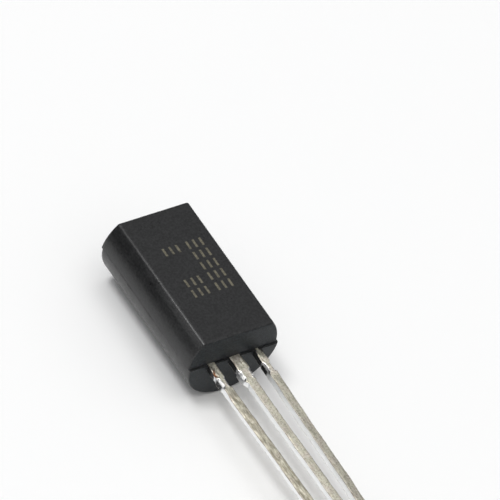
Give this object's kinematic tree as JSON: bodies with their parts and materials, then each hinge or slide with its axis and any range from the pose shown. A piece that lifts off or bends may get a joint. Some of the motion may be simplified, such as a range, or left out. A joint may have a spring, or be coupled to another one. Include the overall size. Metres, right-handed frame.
{
  "type": "long-body three-lead plastic transistor",
  "caption": "Small transistor in a long black half-round moulding with a flat face, and straight tinned leads in a row at one end.",
  "frame": {"origin": "on the surface the part lies on, under the middle of its whole outline", "axes": "+Z out of the flat face, up; +Y from the lead tips to the top of the body; +X across the leads, towards the base lead"},
  "size_m": [0.005, 0.022, 0.0039],
  "materials": {
    "moulding": "matte black epoxy moulding compound",
    "tinned_copper": "dull tin plating with fine lengthwise streaks",
    "silicon": "smooth silicon",
    "solder": "satin solder",
    "gold_wire": "drawn gold"
  },
  "bodies": {
    "root": {"body": "moulding", "emitter_lead": "tinned_copper", "collector_lead": "tinned_copper", "base_lead": "tinned_copper", "die": "silicon", "die_attach": "solder", "emitter_wire": "gold_wire", "base_wire": "gold_wire"}
  },
  "joints": []
}
